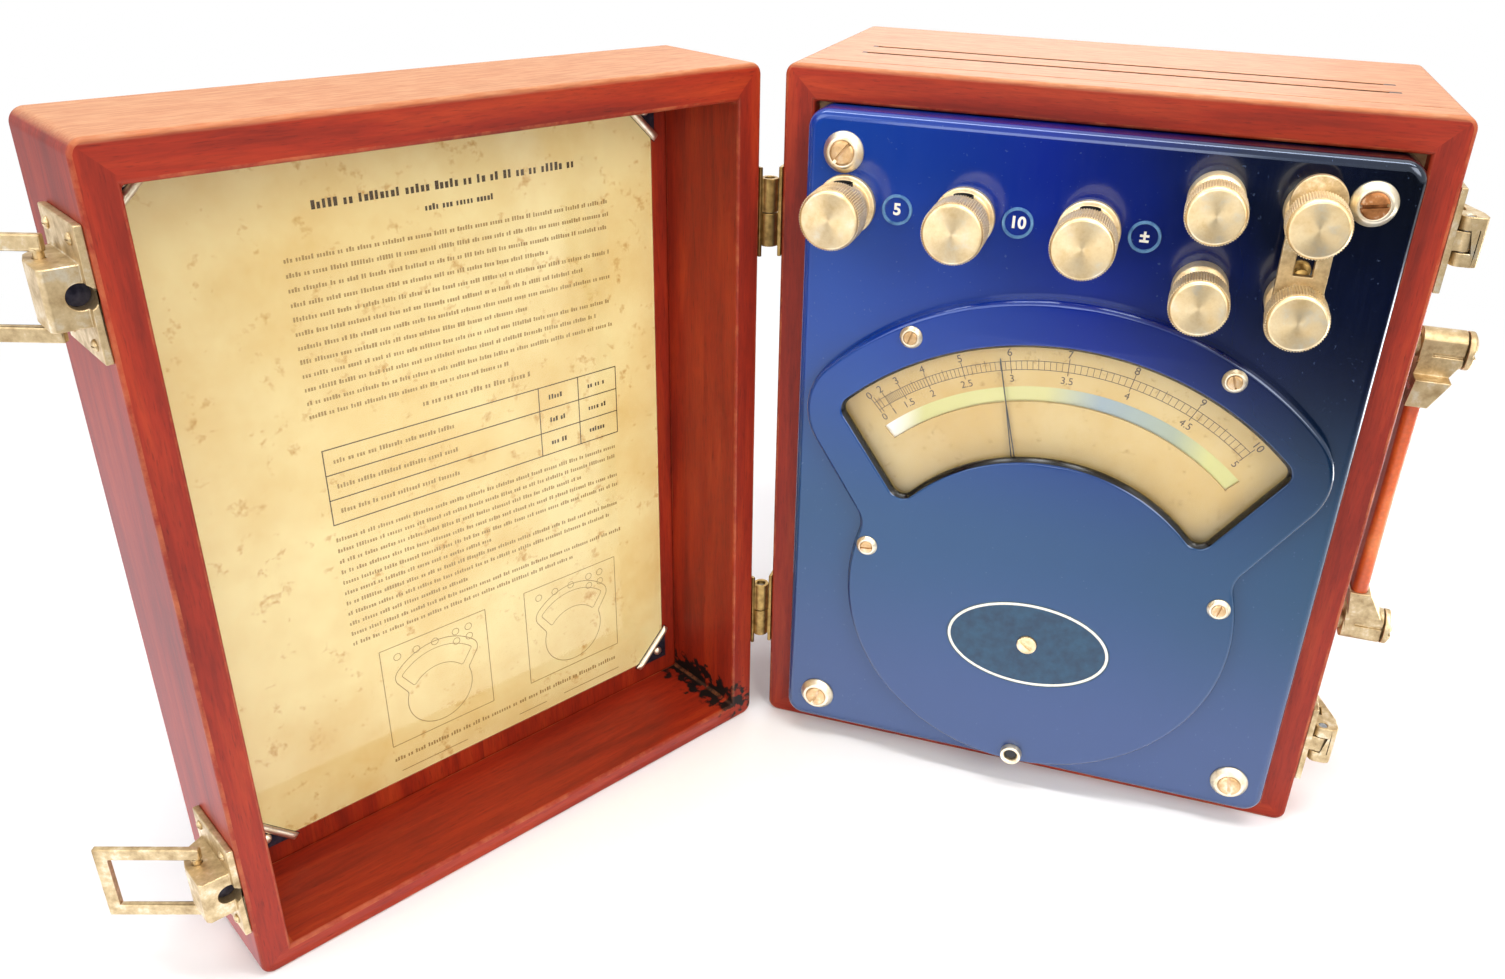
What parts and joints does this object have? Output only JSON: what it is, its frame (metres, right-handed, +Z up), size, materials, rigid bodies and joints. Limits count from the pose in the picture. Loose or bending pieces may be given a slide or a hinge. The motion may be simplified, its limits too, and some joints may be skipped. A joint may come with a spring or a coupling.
{
  "type": "portable ammeter",
  "caption": "Wooden-cased portable ammeter with a slip-hinged lid, fan-shaped mirror scale and pointer, screw terminals, swinging range link, side catches and strap handle.",
  "frame": {"origin": "middle of the flat end that the instrument half stands on", "axes": "+Z up, -Y the way the panel and dial face, +X towards the handle's side"},
  "size_m": [0.3683, 0.2918, 0.253],
  "materials": {
    "mahogany": "oiled red-brown wood with pale worn edges",
    "back_board": "oiled red-brown board",
    "pine": "plain unfinished softwood",
    "moulding": "polished dark moulding",
    "nickel": "worn warm nickel plate",
    "brass": "satin brass",
    "glass": "clear glass",
    "scale_paper": "aged cream enamel",
    "mirror": "silvered strip",
    "copper": "bare copper",
    "fibre": "brown pressed fibre",
    "dark_casting": "black lacquered casting",
    "iron": "plain soft iron",
    "tin": "plain sheet",
    "steel": "polished steel",
    "needle": "matt black",
    "spring": "blued spring metal",
    "leather": "tan saddle leather",
    "card": "aged cream card",
    "film": "clear film"
  },
  "bodies": {
    "case": {"case_walls": "mahogany", "case_back": "back_board", "corner_blocks": "pine", "panel": "moulding", "panel_screws": "nickel", "panel_cup_washers": "nickel", "window_cover": "moulding", "cover_screws": "nickel", "cover_cup_washers": "nickel", "seal_cup": "nickel", "window_glass": "glass", "scale_plate": "scale_paper", "mirror_strip": "mirror", "binding_posts": "nickel", "link_posts": "nickel", "stud_nuts": "brass", "bus_straps": "copper", "catch_plates": "nickel", "catch_pins": "nickel", "case_hinge_leaves": "brass", "hinge_pins": "nickel", "handle_posts": "nickel", "movement_base": "dark_casting", "coil_bobbin": "fibre", "coil_winding": "copper", "fixed_vane": "iron", "movement_bridges": "brass", "jewel_screws": "brass", "damping_box": "tin", "damping_cover": "tin", "magnetic_shield": "iron"},
    "lid": {"lid_walls": "mahogany", "lid_board": "back_board", "instruction_card": "card", "card_film": "film", "card_clips": "nickel", "lid_hinge_leaves": "brass", "loop_brackets": "nickel"},
    "handle": {"handle_strap": "leather", "handle_ferrules": "nickel"},
    "movement": {"movement_shaft": "steel", "moving_vane": "iron", "damping_vane": "tin", "pointer": "needle", "hairspring": "spring"},
    "low_range_knob": {"low_range_knob": "nickel"},
    "high_range_knob": {"high_range_knob": "nickel"},
    "common_knob": {"common_knob": "nickel"},
    "upper_parking_knob": {"upper_parking_knob": "nickel"},
    "lower_parking_knob": {"lower_parking_knob": "nickel"},
    "upper_link_knob": {"upper_link_knob": "nickel"},
    "lower_link_knob": {"lower_link_knob": "nickel"},
    "zero_corrector": {"zero_corrector": "nickel"},
    "zero_arm": {"zero_arm": "brass"},
    "link_bar": {"link_bar": "nickel"},
    "upper_catch_lever": {"upper_catch_lever": "nickel"},
    "lower_catch_lever": {"lower_catch_lever": "nickel"},
    "upper_loop": {"upper_loop": "nickel"},
    "lower_loop": {"lower_loop": "nickel"}
  },
  "joints": [
    {"name": "lid_hinge", "type": "hinge", "parent": "case", "child": "lid", "pos_m": [-0.10424, -0.05165, 0.1265], "axis": [0, 0, 1], "range_deg": [-61, 119]},
    {"name": "handle_push", "type": "slide", "parent": "case", "child": "handle", "axis": [1, 0, 0], "range_m": [-0.0035, 0]},
    {"name": "low_range_knob_turn", "type": "hinge", "parent": "case", "child": "low_range_knob", "pos_m": [-0.0755, -0.0755, 0.2125], "axis": [0, -1, 0], "continuous": true},
    {"name": "high_range_knob_turn", "type": "hinge", "parent": "case", "child": "high_range_knob", "pos_m": [-0.0375, -0.0755, 0.2125], "axis": [0, -1, 0], "continuous": true},
    {"name": "common_knob_turn", "type": "hinge", "parent": "case", "child": "common_knob", "pos_m": [0.0005, -0.0755, 0.2125], "axis": [0, -1, 0], "continuous": true},
    {"name": "upper_parking_knob_turn", "type": "hinge", "parent": "case", "child": "upper_parking_knob", "pos_m": [0.0352, -0.0755, 0.226], "axis": [0, -1, 0], "continuous": true},
    {"name": "lower_parking_knob_turn", "type": "hinge", "parent": "case", "child": "lower_parking_knob", "pos_m": [0.0352, -0.0755, 0.1994], "axis": [0, -1, 0], "continuous": true},
    {"name": "upper_link_knob_turn", "type": "hinge", "parent": "case", "child": "upper_link_knob", "pos_m": [0.0618, -0.0755, 0.226], "axis": [0, -1, 0], "continuous": true},
    {"name": "lower_link_knob_turn", "type": "hinge", "parent": "case", "child": "lower_link_knob", "pos_m": [0.0618, -0.0755, 0.1994], "axis": [0, -1, 0], "continuous": true},
    {"name": "link_swing", "type": "hinge", "parent": "case", "child": "link_bar", "pos_m": [0.0618, -0.0695, 0.1994], "axis": [0, -1, 0], "range_deg": [0, 22]},
    {"name": "zero_corrector_turn", "type": "hinge", "parent": "case", "child": "zero_corrector", "pos_m": [0, -0.0645, 0.064], "axis": [0, -1, 0], "range_deg": [-40, 40]},
    {"name": "zero_arm_swing", "type": "hinge", "parent": "case", "child": "zero_arm", "pos_m": [0, -0.0617, 0.073], "axis": [0, -1, 0], "range_deg": [-9, 9]},
    {"name": "pointer_swing", "type": "hinge", "parent": "case", "child": "movement", "pos_m": [0, -0.0577, 0.073], "axis": [0, 1, 0], "range_deg": [-28, 54], "stiffness_Nm_per_rad": 0.0002},
    {"name": "upper_catch_lever_swing", "type": "hinge", "parent": "case", "child": "upper_catch_lever", "pos_m": [0.1052, -0.0466, 0.218], "axis": [0, 0, -1], "range_deg": [0, 100]},
    {"name": "lower_catch_lever_swing", "type": "hinge", "parent": "case", "child": "lower_catch_lever", "pos_m": [0.1052, -0.0466, 0.035], "axis": [0, 0, -1], "range_deg": [0, 100]},
    {"name": "upper_loop_swing", "type": "hinge", "parent": "lid", "child": "upper_loop", "pos_m": [-0.21869, -0.22996, 0.218], "axis": [0, 0, 1], "range_deg": [-46, 140]},
    {"name": "lower_loop_swing", "type": "hinge", "parent": "lid", "child": "lower_loop", "pos_m": [-0.21869, -0.22996, 0.035], "axis": [0, 0, 1], "range_deg": [-46, 140]}
  ],
  "couplings": [
    {"joint": "zero_arm_swing", "follows": "zero_corrector_turn", "ratio": 0.212}
  ]
}
